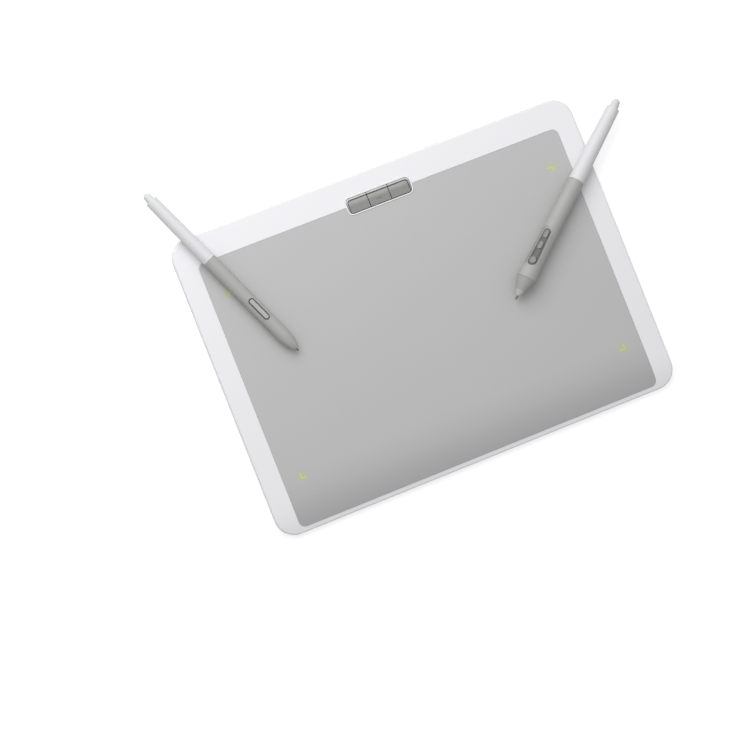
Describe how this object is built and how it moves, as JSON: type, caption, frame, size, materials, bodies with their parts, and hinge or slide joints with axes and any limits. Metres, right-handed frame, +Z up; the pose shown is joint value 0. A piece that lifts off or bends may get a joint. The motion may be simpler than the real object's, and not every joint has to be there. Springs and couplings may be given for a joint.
{
  "type": "graphics tablet",
  "caption": "Slim pen tablet with a flush grey drawing sheet bent over its front edge, raised key strip, rear slider and inlet, and a slim and a flared pen lying on it.",
  "frame": {"origin": "centre of the tablet's outline, on the plane that its rubber feet stand on", "axes": "+X to the user's right along the long side, +Y to the rear edge with the inlet, +Z up"},
  "size_m": [0.3586, 0.271, 0.0229],
  "materials": {
    "white_shell": "fine matt moulding",
    "drawing_sheet": "textured grey film",
    "key_grey": "satin moulding",
    "light_guide": "clear guide lit from below",
    "board_green": "solder mask",
    "component_black": "moulded package",
    "frame_plastic": "plain moulding",
    "port_steel": "stamped shell",
    "shield_metal": "thin sheet",
    "screw_steel": "plain",
    "battery_foil": "foil pouch",
    "foam": "foam tape",
    "cable_film": "flexible film",
    "foot_rubber": "soft matt",
    "slider_grey": "satin moulding",
    "pen_grey": "soft matt coat",
    "pen_white": "soft matt coat",
    "pen_cone_grey": "satin moulding",
    "pen_sleeve_grey": "satin moulding",
    "pen_dark": "matt moulding",
    "pen_button_grey": "satin moulding",
    "pen_light_grey": "satin moulding",
    "nib_plastic": "plain",
    "eraser_plastic": "soft matt",
    "ferrite": "sintered, with its winding",
    "sensor_dark": "plain"
  },
  "bodies": {
    "tablet": {"top_cover": "white_shell", "bottom_cover": "white_shell", "drawing_surface": "drawing_sheet", "corner_light_guides": "light_guide", "corner_led_boards": "board_green", "key_bezel": "white_shell", "key_frame": "frame_plastic", "key_board": "board_green", "key_switches": "component_black", "power_switch": "component_black", "usb_c_port": "port_steel", "main_board": "board_green", "board_chips": "component_black", "wireless_antenna": "screw_steel", "sensor_board": "board_green", "shield_plate": "shield_metal", "battery": "battery_foil", "battery_pads": "foam", "ribbon_cables": "cable_film", "rubber_feet": "foot_rubber", "case_screws": "screw_steel"},
    "thin_pen": {"thin_pen_front_barrel": "pen_grey", "thin_pen_rear_barrel": "pen_white", "thin_pen_inner_frame": "frame_plastic", "thin_pen_rocker_seat": "pen_dark", "thin_pen_circuit_board": "board_green", "thin_pen_switches": "component_black", "thin_pen_coil": "ferrite", "thin_pen_pressure_sensor": "sensor_dark", "thin_pen_eraser_sensor": "sensor_dark"},
    "thick_pen": {"thick_pen_grip": "pen_grey", "thick_pen_rear_barrel": "pen_white", "thick_pen_nose_cone": "pen_cone_grey", "thick_pen_tip_sleeve": "pen_sleeve_grey", "thick_pen_inner_frame": "frame_plastic", "thick_pen_button_inlay": "pen_dark", "thick_pen_circuit_board": "board_green", "thick_pen_switches": "component_black", "thick_pen_coil": "ferrite", "thick_pen_pressure_sensor": "sensor_dark", "thick_pen_eraser_sensor": "sensor_dark"},
    "express_key_left": {"express_key_left": "key_grey"},
    "express_key_middle": {"express_key_middle": "key_grey"},
    "express_key_right": {"express_key_right": "key_grey"},
    "power_slider": {"power_slider": "slider_grey"},
    "thin_pen_rocker": {"thin_pen_rocker": "pen_light_grey"},
    "thin_pen_nib": {"thin_pen_nib": "nib_plastic"},
    "thin_pen_eraser": {"thin_pen_eraser": "eraser_plastic"},
    "thick_pen_button_front": {"thick_pen_button_front": "pen_button_grey"},
    "thick_pen_button_middle": {"thick_pen_button_middle": "pen_button_grey"},
    "thick_pen_button_rear": {"thick_pen_button_rear": "pen_button_grey"},
    "thick_pen_nib": {"thick_pen_nib": "nib_plastic"},
    "thick_pen_eraser": {"thick_pen_eraser": "eraser_plastic"}
  },
  "joints": [
    {"name": "express_key_left_press", "type": "slide", "parent": "tablet", "child": "express_key_left", "axis": [0, 0, -1], "range_m": [0, 0.0004], "stiffness_N_per_m": 1500},
    {"name": "express_key_middle_press", "type": "slide", "parent": "tablet", "child": "express_key_middle", "axis": [0, 0, -1], "range_m": [0, 0.0004], "stiffness_N_per_m": 1500},
    {"name": "express_key_right_press", "type": "slide", "parent": "tablet", "child": "express_key_right", "axis": [0, 0, -1], "range_m": [0, 0.0004], "stiffness_N_per_m": 1500},
    {"name": "power_slider_slide", "type": "slide", "parent": "tablet", "child": "power_slider", "axis": [1, 0, 0], "range_m": [0, 0.0026]},
    {"name": "thin_pen_lift", "type": "slide", "parent": "tablet", "child": "thin_pen", "axis": [0, 0, 1], "range_m": [0, 0.06]},
    {"name": "thick_pen_lift", "type": "slide", "parent": "tablet", "child": "thick_pen", "axis": [0, 0, 1], "range_m": [0, 0.06]},
    {"name": "thin_pen_rocker_tilt", "type": "hinge", "parent": "thin_pen", "child": "thin_pen_rocker", "pos_m": [-0.11501, 0.04748, 0.01656], "axis": [-0.9184, -0.3937, 0.0401], "range_deg": [-1.5, 1.5], "stiffness_Nm_per_rad": 0.35},
    {"name": "thick_pen_button_front_press", "type": "slide", "parent": "thick_pen", "child": "thick_pen_button_front", "axis": [0.3031, -0.3728, -0.877], "range_m": [0, 0.00035], "stiffness_N_per_m": 2000},
    {"name": "thick_pen_button_middle_press", "type": "slide", "parent": "thick_pen", "child": "thick_pen_button_middle", "axis": [0.3031, -0.3728, -0.877], "range_m": [0, 0.00035], "stiffness_N_per_m": 2000},
    {"name": "thick_pen_button_rear_press", "type": "slide", "parent": "thick_pen", "child": "thick_pen_button_rear", "axis": [0.3031, -0.3728, -0.877], "range_m": [0, 0.00035], "stiffness_N_per_m": 2000},
    {"name": "thin_pen_nib_press", "type": "slide", "parent": "thin_pen", "child": "thin_pen_nib", "axis": [-0.3939, 0.9191, 0.0008], "range_m": [0, 0.0004], "stiffness_N_per_m": 2500},
    {"name": "thin_pen_eraser_press", "type": "slide", "parent": "thin_pen", "child": "thin_pen_eraser", "axis": [0.3939, -0.9191, -0.0008], "range_m": [0, 0.0004], "stiffness_N_per_m": 2500},
    {"name": "thick_pen_nib_press", "type": "slide", "parent": "thick_pen", "child": "thick_pen_nib", "axis": [0.758, 0.652, -0.0152], "range_m": [0, 0.0004], "stiffness_N_per_m": 2500},
    {"name": "thick_pen_eraser_press", "type": "slide", "parent": "thick_pen", "child": "thick_pen_eraser", "axis": [-0.758, -0.652, 0.0152], "range_m": [0, 0.0004], "stiffness_N_per_m": 2500}
  ]
}
